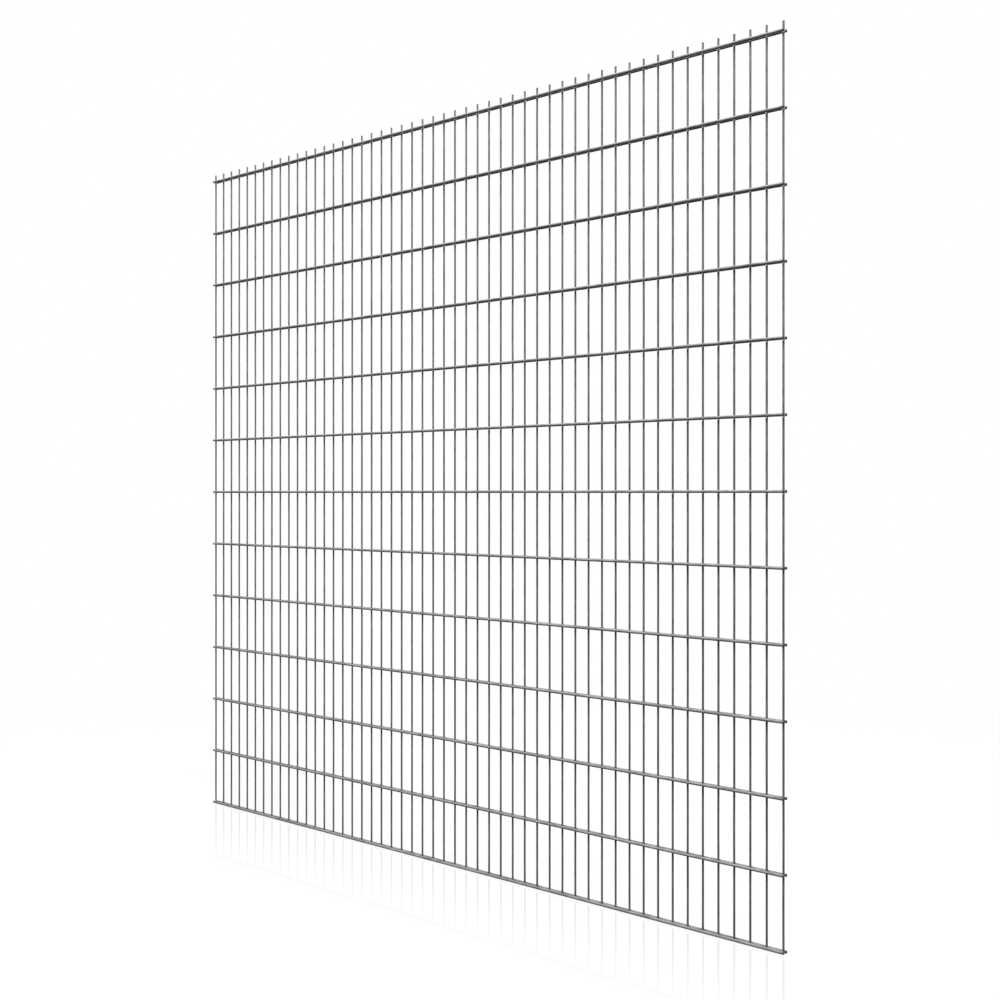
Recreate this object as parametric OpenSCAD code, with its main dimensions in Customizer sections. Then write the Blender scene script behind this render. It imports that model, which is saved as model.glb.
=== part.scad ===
// Welded double-wire mesh fence panel.
// Upright wires stand in one plane. Each row has two bars that clasp them, one in front and one behind.
// X runs along the panel, Y through it and Z up. The origin is at the foot of the middle upright.
// Units are millimetres.

/* [Panel] */
// Length of the panel, which is made up of whole meshes and the overhangs of the bars
panel_length = 2510; // [1010:100:3010]
// Height of the panel, which is made up of whole meshes over the lowest bars, and the spikes
panel_height = 2430; // [630:200:3030]

/* [Mesh] */
// Distance from one upright to the next, centre to centre
upright_pitch = 50; // [40:1:70]
// Distance from one row of bars to the next, centre to centre
row_pitch = 200; // [150:5:250]

/* [Wires] */
// Diameter of the horizontal bars
bar_d = 8; // [5:0.5:10]
// Diameter of the upright wires
upright_d = 6; // [4:0.5:8]
// Flats round each wire, in fours, so that crossing wires meet flat on flat where they are welded
wire_sides = 12; // [4:4:12]

/* [Ends] */
// Height of the spikes above the centre of the top row
spike_h = 26; // [12:1:60]
// Length of each bar past the centre of the end upright
bar_overhang = 5; // [4:0.5:30]

/* [Hidden] */
// The inner uprights are kept in this many nodes
groups = 7;
half_flat = 180 / wire_sides;
bar_y = (upright_d + bar_d) / 2;
first_row_z = bar_d / 2;
// The meshes along the panel are even in number, so that one upright stands in the middle
meshes_along = 2 * round((panel_length - 2 * bar_overhang) / upright_pitch / 2);
meshes_up = round((panel_height - first_row_z - spike_h) / row_pitch);
upright_count = meshes_along + 1;
row_count = meshes_up + 1;
end_upright_x = meshes_along / 2 * upright_pitch;
bar_length = 2 * (end_upright_x + bar_overhang);
upright_length = first_row_z + meshes_up * row_pitch + spike_h;
zinc = [0.47, 0.48, 0.49];

function two_digits(n) = n < 10 ? str("0", n) : str(n);
function bar_name(side, row) = str(side, "_bar_", two_digits(row));
function group_name(group) = str("inner_uprights_", group);
function row_z(row) = first_row_z + (row - 1) * row_pitch;
function upright_x(n) = (n - 1) * upright_pitch - end_upright_x;

// The last inner upright of a group, counted from the left end upright, which is number 1
function last_of(group) = 1 + floor(group * (upright_count - 2) / groups);

// A straight wire standing on its cut end, with flats towards X and Y that are its diameter apart
module wire(diameter, length) {
    rotate([0, 0, half_flat])
        cylinder(d = diameter / cos(half_flat), h = length, $fn = wire_sides);
}

// One horizontal bar, welded to the front or rear flats of the uprights
module bar(side, row) {
    y = side == "front" ? -bar_y : bar_y;
    color(zinc)
        translate([-bar_length / 2, y, row_z(row)])
            rotate([0, 90, 0])
                wire(bar_d, bar_length);
}

// One upright, flush with the underside of the lowest bars and running on as a spike above the highest
module upright(n) {
    color(zinc)
        translate([upright_x(n), 0, 0])
            wire(upright_d, upright_length);
}

module inner_uprights(group) {
    for (n = [last_of(group - 1) + 1:last_of(group)])
        upright(n);
}

for (row = [1:row_count]) {
    bar("front", row);
    bar("rear", row);
}
for (group = [1:groups])
    inner_uprights(group);
upright(1);  // left_end_upright
upright(upright_count);  // right_end_upright
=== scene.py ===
"""Welded double-wire mesh fence panel in galvanised steel, on a white studio floor.

Every wire is round, with sheared ends. Each crossing has the bead that its weld squeezed out, with the run of
zinc that gathered under it. X runs along the panel, Y through it and Z up, all in metres.
"""

import math

import bpy
import numpy as np
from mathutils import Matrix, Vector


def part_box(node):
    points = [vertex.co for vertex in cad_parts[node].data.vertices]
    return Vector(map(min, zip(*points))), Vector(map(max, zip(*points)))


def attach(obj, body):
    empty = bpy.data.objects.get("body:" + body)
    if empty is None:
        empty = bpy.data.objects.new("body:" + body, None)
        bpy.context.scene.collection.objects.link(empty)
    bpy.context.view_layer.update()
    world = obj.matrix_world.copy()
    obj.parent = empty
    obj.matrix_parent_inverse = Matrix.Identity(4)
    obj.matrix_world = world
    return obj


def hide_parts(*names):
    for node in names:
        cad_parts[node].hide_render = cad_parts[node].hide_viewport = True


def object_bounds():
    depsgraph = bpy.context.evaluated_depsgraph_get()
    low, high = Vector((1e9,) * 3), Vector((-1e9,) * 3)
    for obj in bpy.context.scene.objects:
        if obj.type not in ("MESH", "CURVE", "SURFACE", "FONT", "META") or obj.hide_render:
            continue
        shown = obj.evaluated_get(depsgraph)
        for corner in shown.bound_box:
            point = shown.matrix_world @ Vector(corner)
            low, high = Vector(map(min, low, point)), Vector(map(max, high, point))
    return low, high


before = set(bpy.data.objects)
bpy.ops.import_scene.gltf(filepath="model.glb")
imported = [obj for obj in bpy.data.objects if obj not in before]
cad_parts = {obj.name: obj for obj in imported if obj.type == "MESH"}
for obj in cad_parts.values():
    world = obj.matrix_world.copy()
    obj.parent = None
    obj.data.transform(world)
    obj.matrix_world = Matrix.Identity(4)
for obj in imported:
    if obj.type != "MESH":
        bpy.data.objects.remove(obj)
cad_low, cad_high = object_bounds()

MM = 0.001
FULL_TURN = 2 * math.pi

# Counts and pitch of the panel, as in the CAD
ROWS = 13
GROUPS = 7
UPRIGHT_PITCH = 50 * MM

# Wires. An upright bows by at most UPRIGHT_BOW along X, and as much along Y, between rows and in its spike
BAR_SIDES = 32
UPRIGHT_SIDES = 24
UPRIGHT_BOW = 0.25 * MM

# Cut ends, with a rounded rim, a cut face that leans by up to twice CUT_LEAN, and a stretch that never bows
RIM = 0.35 * MM
RIM_RINGS = 4
CUT_LEAN = 0.12 * MM
STRAIGHT_END = 4 * RIM

# Stain on the wire beside a cut end, which starts at STAIN_REACH from the end and is full at STAIN_CORE
STAIN_REACH = 4 * MM
STAIN_CORE = 1 * MM

# Weld beads, with half sizes along the bar, through the panel and along the upright
BEAD_SIDES = 12
BEAD_HALF_WIDTH = 2.6 * MM
BEAD_HALF_DEPTH = 1.1 * MM
BEAD_HALF_HEIGHT = 2.7 * MM

# Zinc ran from the welds further in the middle row of the panel and the rows above it
# There the runs take much lighter zinc, a painted highlight under the bars, where the bars shade the uprights
LONG_RUN = 7 * MM
SHORT_RUN = 1.5 * MM

# Camera, turned round the middle of the panel from the front towards its right end
CAMERA_DISTANCE = 4.5
CAMERA_HEIGHT = 1.2
CAMERA_TURN = math.pi / 4

# Floor, just under the foot. The panel's shade on it fades from SHADE_NEAR to SHADE_FAR from the middle
FLOOR_REACH = 40
FLOOR_DROP = 0.5 * MM
SHADE_SHARE = 0.12
SHADE_NEAR = 1.5
SHADE_FAR = 4.5

# Mirror image in the floor, which ends MIRROR_REACH off the panel and is weaker right beside the foot
MIRROR_SHARE = 0.235
MIRROR_REACH = 0.8
MIRROR_AT_FOOT = 0.35
FOOT_NEAR = 12 * MM
FOOT_FAR = 45 * MM

# Strength of the sky for rays that gather light, where 1 is its white in view
SKY_AS_LIGHT = 0.68

seeded = np.random.default_rng(20)


# Meshes

def tube_quads(rings, sides):
    """Four corners of each face between one ring of a tube and the next."""
    ring, side = np.meshgrid(np.arange(rings - 1), np.arange(sides), indexing="ij")
    near = ring * sides + side
    near_beside = ring * sides + (side + 1) % sides
    return np.stack([near, near_beside, near_beside + sides, near + sides], -1).reshape(-1, 4)


def add_piece(name, points, faces, finishes, end_faces=0):
    """A smooth object that rides on the panel.

    Its last faces, as many as end_faces says, are flat and take the second finish.
    """
    mesh = bpy.data.meshes.new(name)
    mesh.from_pydata(points.tolist(), [], faces)
    for finish in finishes:
        mesh.materials.append(finish)
    body = len(faces) - end_faces
    mesh.polygons.foreach_set("use_smooth", np.arange(len(faces)) < body)
    mesh.polygons.foreach_set("material_index", (np.arange(len(faces)) >= body).astype(int))
    mesh.update()
    piece = bpy.data.objects.new(name, mesh)
    bpy.context.scene.collection.objects.link(piece)
    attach(piece, "root")
    return piece


def round_wires(feet, length, radius, sides, stations, bow):
    """Wires standing along +Z on their feet, as points and faces, with the faces of the cut ends last.

    A circle is carried up the axis. At each end its radius follows a quarter circle, with
    radius - RIM * (1 - sin a) at a height of RIM * (1 - cos a), and the cut leans inwards by
    lean * (1 + cos(angle - heading)). Between two stations the axis bows sideways by
    pull * sin(pi * share of the span), where each span of each wire has its own pull along X and along Y,
    each of bow at most.
    """
    wires = len(feet)
    turn = np.linspace(0, FULL_TURN, sides, endpoint=False)
    quarter = np.linspace(0, math.pi / 2, RIM_RINGS)
    rim_height = RIM * (1 - np.cos(quarter))
    rim_radius = radius - RIM * (1 - np.sin(quarter))
    share = np.array([0.0, 0.25, 0.5, 0.75])
    spans = np.diff(stations)
    inner = (stations[:-1, None] + spans[:, None] * share).ravel()
    height = np.concatenate([rim_height, inner, stations[-1:], length - rim_height[::-1]])
    around = np.concatenate([rim_radius, np.full(len(inner) + 1, radius), rim_radius[::-1]])
    rings = len(height)
    sway = np.zeros((wires, rings, 2))
    pull = seeded.uniform(-bow, bow, (wires, len(spans), 1, 2)) * np.sin(math.pi * share)[:, None]
    sway[:, RIM_RINGS:RIM_RINGS + len(inner)] = pull.reshape(wires, len(inner), 2)
    lean = seeded.uniform(0, CUT_LEAN, (2, wires, 1, 1))
    heading = seeded.uniform(0, FULL_TURN, (2, wires, 1, 1))
    cut = lean * (1 + np.cos(turn - heading))
    points = np.empty((wires, rings, sides, 3))
    points[..., 0] = feet[:, 0, None, None] + sway[..., 0, None] + around[:, None] * np.cos(turn)
    points[..., 1] = feet[:, 1, None, None] + sway[..., 1, None] + around[:, None] * np.sin(turn)
    points[..., 2] = feet[:, 2, None, None] + height[:, None]
    points[:, :RIM_RINGS, :, 2] += cut[0]
    points[:, -RIM_RINGS:, :, 2] -= cut[1]
    first = np.arange(wires)[:, None, None] * rings * sides
    sleeve = (tube_quads(rings, sides) + first).reshape(-1, 4)
    face_of_cut = np.arange(sides)
    lower = face_of_cut[::-1] + first[:, 0]
    upper = face_of_cut + (rings - 1) * sides + first[:, 0]
    return points.reshape(-1, 3), sleeve.tolist() + lower.tolist() + upper.tolist()


def weld_beads(crossings, upright_r, run):
    """The bead of metal round the contact of each crossing, as points and faces.

    A crossing is x, the bar's z, and -1 or 1 for the front or the rear bar. run is how far the zinc ran down
    at most. A flattened ball lies in the plane where the wires touch: x = a cos t cos v, y = c sin v and
    z = -b sin t cos v, with a, c and b for half its width, depth and height, times a size of its own. Its
    lower half is drawn down the upright: b grows by its own share of run times d (2 - d), with
    d = sin(t + skew), and by nothing where d is negative.
    """
    count = len(crossings)
    t = np.linspace(0, FULL_TURN, BEAD_SIDES, endpoint=False)
    v = np.radians([-68, -24, 24, 68])[:, None]
    size = seeded.uniform(0.9, 1.15, (count, 1, 1))
    skew = seeded.uniform(-0.25, 0.25, (count, 1, 1))
    down = np.maximum(0, np.sin(t + skew))
    drawn = run * seeded.uniform(0.6, 1.0, (count, 1, 1)) * down * (2 - down)
    x = BEAD_HALF_WIDTH * size * np.cos(t) * np.cos(v)
    y = -upright_r + BEAD_HALF_DEPTH * size * np.sin(v) * np.ones_like(t)
    z = -(BEAD_HALF_HEIGHT * size + drawn) * np.sin(t) * np.cos(v)
    # Beads on the rear bars are turned half round, which keeps their faces pointing outwards
    side = -crossings[:, 2, None, None]
    points = np.stack([crossings[:, 0, None, None] + side * x, side * y, crossings[:, 1, None, None] + z], -1)
    first = np.arange(count)[:, None, None] * v.size * t.size
    sleeve = (tube_quads(v.size, t.size) + first).reshape(-1, 4)
    near = np.arange(t.size)[::-1] + first[:, 0]
    far = np.arange(t.size) + (v.size - 1) * t.size + first[:, 0]
    return points.reshape(-1, 3), sleeve.tolist() + near.tolist() + far.tolist()


# Shader maths

class Field:
    """A value that varies over a surface. It wraps a socket, and each operator on numbers adds a node."""

    def __init__(self, finish, socket):
        self.finish = finish
        self.socket = socket

    def math(self, operation, *values):
        return self.finish.node("ShaderNodeMath", {"operation": operation}, dict(enumerate(values)))[0]

    def __add__(self, other):
        return self.math("ADD", self, other)

    def __sub__(self, other):
        return self.math("SUBTRACT", self, other)

    def __rsub__(self, other):
        return self.math("SUBTRACT", other, self)

    def __mul__(self, other):
        return self.math("MULTIPLY", self, other)

    def __abs__(self):
        return self.math("ABSOLUTE", self)

    def over(self, other):
        """The larger of the two."""
        return self.math("MAXIMUM", self, other)

    def ramp(self, low, high, start=0.0, end=1.0):
        """Smoothly from start, where the field is low, to end, where it is high."""
        smooth = {"interpolation_type": "SMOOTHSTEP"}
        return self.finish.node("ShaderNodeMapRange", smooth, {0: self, 1: low, 2: high, 3: start, 4: end})[0]

    __radd__, __rmul__ = __add__, __mul__


class Finish:
    """A node tree in the making, for a material or the world that owns it."""

    def __init__(self, owner):
        self.owner = owner
        self.owner.use_nodes = True
        self.tree = self.owner.node_tree
        self.tree.nodes.clear()

    def node(self, kind, settings=None, inputs=None):
        """Adds a node, gives it its settings and then its inputs, and returns its outputs as fields."""
        node = self.tree.nodes.new(kind)
        for setting, value in (settings or {}).items():
            setattr(node, setting, value)
        for socket, value in (inputs or {}).items():
            if isinstance(value, Field):
                self.tree.links.new(value.socket, node.inputs[socket])
            else:
                node.inputs[socket].default_value = value
        return Outputs(self, node)

    def position(self, stretch=(1, 1, 1)):
        """The place on the panel, in metres, multiplied along each axis, and its three parts as they are."""
        place = self.node("ShaderNodeTexCoord")["Object"]
        parts = self.node("ShaderNodeSeparateXYZ", None, {0: place})
        return self.node("ShaderNodeMapping", None, {"Vector": place, "Scale": stretch})[0], parts

    def noise(self, place, scale, detail=2.0, roughness=0.5):
        grain = {"Vector": place, "Scale": scale, "Detail": detail, "Roughness": roughness}
        return self.node("ShaderNodeTexNoise", None, grain)[0]

    def spangle(self, place, scale):
        """A number for each of the flakes into which zinc sets, the same all over the flake."""
        flake = self.node("ShaderNodeTexVoronoi", None, {"Vector": place, "Scale": scale})["Color"]
        return self.node("ShaderNodeSeparateColor", None, {0: flake})[0]

    def bump(self, height, strength, distance):
        """The normal of a surface that a height of 1 lifts by distance, in metres."""
        lift = {"Strength": strength, "Distance": distance, "Height": height}
        return self.node("ShaderNodeBump", None, lift)[0]

    def blend(self, share, first, second):
        """Colour that goes from first to second with share."""
        return self.node("ShaderNodeMix", {"data_type": "RGBA"}, {0: share, 6: first, 7: second}).colour()

    def mix(self, share, first, second):
        """Shader that goes from first to second with share."""
        return self.node("ShaderNodeMixShader", None, {0: share, 1: first, 2: second})[0]

    def diffuse(self, level):
        return self.node("ShaderNodeBsdfDiffuse", None, {"Color": grey(level)})[0]

    def in_view(self):
        """1 for rays from the camera and those that metal or glass sends on, 0 for rays that gather light."""
        rays = self.node("ShaderNodeLightPath")
        return rays["Is Camera Ray"].over(rays["Is Glossy Ray"]).over(rays["Is Transmission Ray"])

    def surface(self, shader, output="ShaderNodeOutputMaterial"):
        """Puts the shader on the surface and returns the finished material or world."""
        self.node(output, None, {"Surface": shader})
        return self.owner


class Outputs:
    """The outputs of a node, by name or number."""

    def __init__(self, finish, node):
        self.finish = finish
        self.sockets = node.outputs

    def __getitem__(self, key):
        return Field(self.finish, self.sockets[key])

    def colour(self):
        """The colour in use, because a Mix node has an output for each type of data."""
        return Field(self.finish, next(s for s in self.sockets if s.type == "RGBA" and s.enabled))


def grey(level):
    return (level, level, level, 1.0)


def drawn_out(axis, share):
    """Scale of the three axes, with share on one of them, where a pattern grows 1 / share times as long."""
    return [share if number == axis else 1.0 for number in range(3)]


def zinc_finish(name, along, ends, dull, bright, painted_light_rise=0.0):
    """Dull hot-dip zinc on drawn wire: spangles, long soft patches, speckle, draw lines and stained cut ends.

    along is 0 for wires that lie along X and 2 for wires that stand along Z. ends are the two places on that
    axis where the wires are cut. dull and bright are the greys between which the zinc goes, and rise is the
    share of that way by which the colour is painted brighter from the first end to the second: painted light,
    with painted shade towards the first end.
    """
    finish = Finish(bpy.data.materials.new(name))
    middle = (ends[0] + ends[1]) / 2
    reach = (ends[1] - ends[0]) / 2
    place, parts = finish.position(drawn_out(along, 0.28))
    lines, _ = finish.position(drawn_out(along, 0.02))
    patches = finish.noise(place, scale=70, detail=3.0, roughness=0.6)
    lumps = finish.noise(place, scale=160, detail=1.0)
    speckle = finish.noise(place, scale=900, roughness=0.7)
    draw_lines = finish.noise(lines, scale=1500, detail=1.0)
    flakes = finish.spangle(place, scale=420)
    grain = (lumps - 0.5) * 0.6 + (speckle - 0.5) * 0.6 + (flakes - 0.5) * 0.5
    # Painted light: the colour grows brighter along the wire by rise, with painted shade towards the first
    # end
    painted_light_drift = (parts[along] - middle) * (0.5 * painted_light_rise / reach)
    zinc = finish.blend(patches.ramp(0.3, 0.7, 0.2, 0.8) + grain + painted_light_drift, grey(dull), grey(bright))
    stain = abs(parts[along] - middle).ramp(reach - STAIN_REACH, reach - STAIN_CORE)
    relief = lumps * 0.5 + speckle * 0.2 + draw_lines * 0.1 + flakes * 0.06
    metal = finish.node("ShaderNodeBsdfPrincipled", None, {
        "Base Color": finish.blend(stain, zinc, grey(0.07)),
        "Roughness": patches * 0.2 + (draw_lines - 0.5) * 0.1 + (flakes - 0.5) * 0.16 + 0.36 + stain * 0.12,
        "Normal": finish.bump(relief, strength=0.5, distance=0.25 * MM),
        "Metallic": 0.05,
        "Specular IOR Level": 0.06,
    })[0]
    return finish.surface(metal)


def sheared_finish():
    """Cut faces of the wires: dark steel torn across by the shear, under a thin coat of zinc."""
    finish = Finish(bpy.data.materials.new("sheared_end"))
    place, _ = finish.position()
    torn = finish.noise(place, scale=1400, detail=3.0, roughness=0.6)
    patch = finish.noise(place, scale=350, detail=1.0)
    steel = finish.node("ShaderNodeBsdfPrincipled", None, {
        "Base Color": finish.blend(patch * 0.6 + torn * 0.4, grey(0.02), grey(0.07)),
        "Roughness": torn * 0.2 + 0.45,
        "Normal": finish.bump(torn, strength=0.6, distance=0.2 * MM),
        "Metallic": 0.2,
        "Specular IOR Level": 0.2,
    })[0]
    return finish.surface(steel)


def weld_finish(name, dull, bright):
    """Zinc, thick on the bead round a weld and on the run under it, with dull hollows."""
    finish = Finish(bpy.data.materials.new(name))
    place, _ = finish.position()
    lumps = finish.noise(place, scale=420, roughness=0.6)
    zinc = finish.node("ShaderNodeBsdfPrincipled", None, {
        "Base Color": finish.blend(lumps.ramp(0.3, 0.6), grey(dull), grey(bright)),
        "Roughness": lumps * 0.2 + 0.28,
        "Normal": finish.bump(lumps, strength=0.5, distance=0.3 * MM),
        "Metallic": 0.5,
    })[0]
    return finish.surface(zinc)


# Camera

camera = bpy.data.objects.new("camera", bpy.data.cameras.new("camera"))
bpy.context.scene.collection.objects.link(camera)
bpy.context.scene.camera = camera
camera_x = CAMERA_DISTANCE * math.sin(CAMERA_TURN)
camera_y = -CAMERA_DISTANCE * math.cos(CAMERA_TURN)
camera.location = (camera_x, camera_y, CAMERA_HEIGHT)
camera.rotation_euler = (math.pi / 2, 0, CAMERA_TURN)
camera.data.lens = 50
camera.data.sensor_width = 36
camera.data.shift_x = 0.056
camera.data.shift_y = -0.007
camera.data.clip_end = 200


# Wires

sheared = sheared_finish()
bar_zinc = zinc_finish("bar_zinc", 0, (cad_low.x, cad_high.x), dull=0.1, bright=0.222)
# The uprights' zinc has painted light, lighter towards the top, and painted shade darker towards the foot
upright_zinc = zinc_finish("upright_zinc", 2, (cad_low.z, cad_high.z), dull=0.065, bright=0.135, painted_light_rise=0.25)

row_heights = []
for row in range(1, ROWS + 1):
    for side in ("front", "rear"):
        node = f"{side}_bar_{row:02d}"
        low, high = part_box(node)
        bar_r = (high[2] - low[2]) / 2
        length = high[0] - low[0]
        # The bar is made standing up, with its y and z for the wire's x and y, and then laid along X
        foot = np.array([[(low[1] + high[1]) / 2, (low[2] + high[2]) / 2, low[0]]])
        stations = np.array([STRAIGHT_END, length - STRAIGHT_END])
        points, faces = round_wires(foot, length, bar_r, BAR_SIDES, stations, bow=0.0)
        laid = np.roll(points, 1, axis=1)
        piece = add_piece(f"{side}_wire_{row:02d}", laid, faces, [bar_zinc, sheared], end_faces=2)
        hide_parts(node)
    row_heights.append((low[2] + high[2]) / 2)

upright_places = []
inner_groups = [f"inner_uprights_{group}" for group in range(1, GROUPS + 1)]
for node in ["left_end_upright", *inner_groups, "right_end_upright"]:
    low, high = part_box(node)
    upright_r = (high[1] - low[1]) / 2
    count = round((high[0] - low[0] - 2 * upright_r) / UPRIGHT_PITCH) + 1
    places = np.linspace(low[0] + upright_r, high[0] - upright_r, count)
    feet = np.stack([places, np.zeros(count), np.full(count, low[2])], -1)
    length = high[2] - low[2]
    stations = np.array([*row_heights, length - STRAIGHT_END])
    points, faces = round_wires(feet, length, upright_r, UPRIGHT_SIDES, stations, UPRIGHT_BOW)
    name = node.replace("uprights", "wires").replace("upright", "wire")
    piece = add_piece(name, points, faces, [upright_zinc, sheared], end_faces=2 * count)
    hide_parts(node)
    upright_places.extend(places)


# Welds

bead_zinc = weld_finish("bead_zinc", dull=0.2, bright=0.42)
# The runs of the upper rows are far lighter than the beads: painted highlight where the bars shade the
# uprights
run_zinc_painted_highlight = weld_finish("run_zinc_painted_highlight", dull=0.5, bright=0.88)

for row, height in enumerate(row_heights, 1):
    x, side = np.meshgrid(upright_places, [-1.0, 1.0])
    crossings = np.stack([x.ravel(), np.full(x.size, height), side.ravel()], -1)
    # Rows above the middle get the longer runs, in the lighter zinc of the painted highlight
    run, zinc = (LONG_RUN, run_zinc_painted_highlight) if row > ROWS / 2 else (SHORT_RUN, bead_zinc)
    points, faces = weld_beads(crossings, upright_r, run)
    if row == 1:
        # Nothing hangs below the foot of the panel
        points[:, 2] = np.maximum(points[:, 2], cad_low.z)
    piece = add_piece(f"welds_row_{row:02d}", points, faces, [zinc])


# Floor, background and light

def studio_floor():
    """A white floor that mirrors the foot of the panel, faintly and less with distance in front or behind.

    In view it is white, with the panel's soft shade near the panel. Rays that gather light find it dark, so
    that little light comes up from it.
    """
    finish = Finish(bpy.data.materials.new("studio_floor"))
    place, parts = finish.position()
    distance = finish.node("ShaderNodeVectorMath", {"operation": "LENGTH"}, {0: place})["Value"]
    white = finish.node("ShaderNodeEmission", None, {"Color": grey(1.0), "Strength": 1.0})[0]
    shade = distance.ramp(SHADE_NEAR, SHADE_FAR, start=SHADE_SHARE, end=0.0)
    paint = finish.mix(shade, white, finish.diffuse(0.6))
    mirror = finish.node("ShaderNodeBsdfGlossy", None, {"Color": grey(1.0), "Roughness": 0.0})[0]
    off_panel = abs(parts[1])
    fading = off_panel.ramp(0.0, MIRROR_REACH, start=MIRROR_SHARE, end=0.0)
    weaker = off_panel.ramp(FOOT_NEAR, FOOT_FAR, start=MIRROR_AT_FOOT)
    seen = finish.mix(fading * weaker, paint, mirror)
    return finish.surface(finish.mix(finish.in_view(), finish.diffuse(0.02), seen))


signs = ((-1, -1), (1, -1), (1, 1), (-1, 1))
corners = [(x * FLOOR_REACH, y * FLOOR_REACH, -FLOOR_DROP) for x, y in signs]
floor_mesh = bpy.data.meshes.new("floor")
floor_mesh.from_pydata(corners, [], [[0, 1, 2, 3]])
floor_mesh.materials.append(studio_floor())
floor = bpy.data.objects.new("floor", floor_mesh)
bpy.context.scene.collection.objects.link(floor)

sky = bpy.data.worlds.new("studio")
bpy.context.scene.world = sky
studio = Finish(sky)
strength = studio.in_view().ramp(0.0, 1.0, start=SKY_AS_LIGHT)
white = studio.node("ShaderNodeBackground", None, {"Color": grey(1.0), "Strength": strength})[0]
studio.surface(white, "ShaderNodeOutputWorld")

lamp = bpy.data.objects.new("softbox", bpy.data.lights.new("softbox", "AREA"))
lamp.data.shape = "RECTANGLE"
lamp.data.size = 4.0
lamp.data.size_y = 3.0
lamp.data.energy = 1180
lamp.location = (2.0, -2.0, 7.0)
lamp.rotation_euler = (math.radians(20), math.radians(18.5), 0)
bpy.context.scene.collection.objects.link(lamp)

bpy.context.scene.view_settings.view_transform = "Standard"
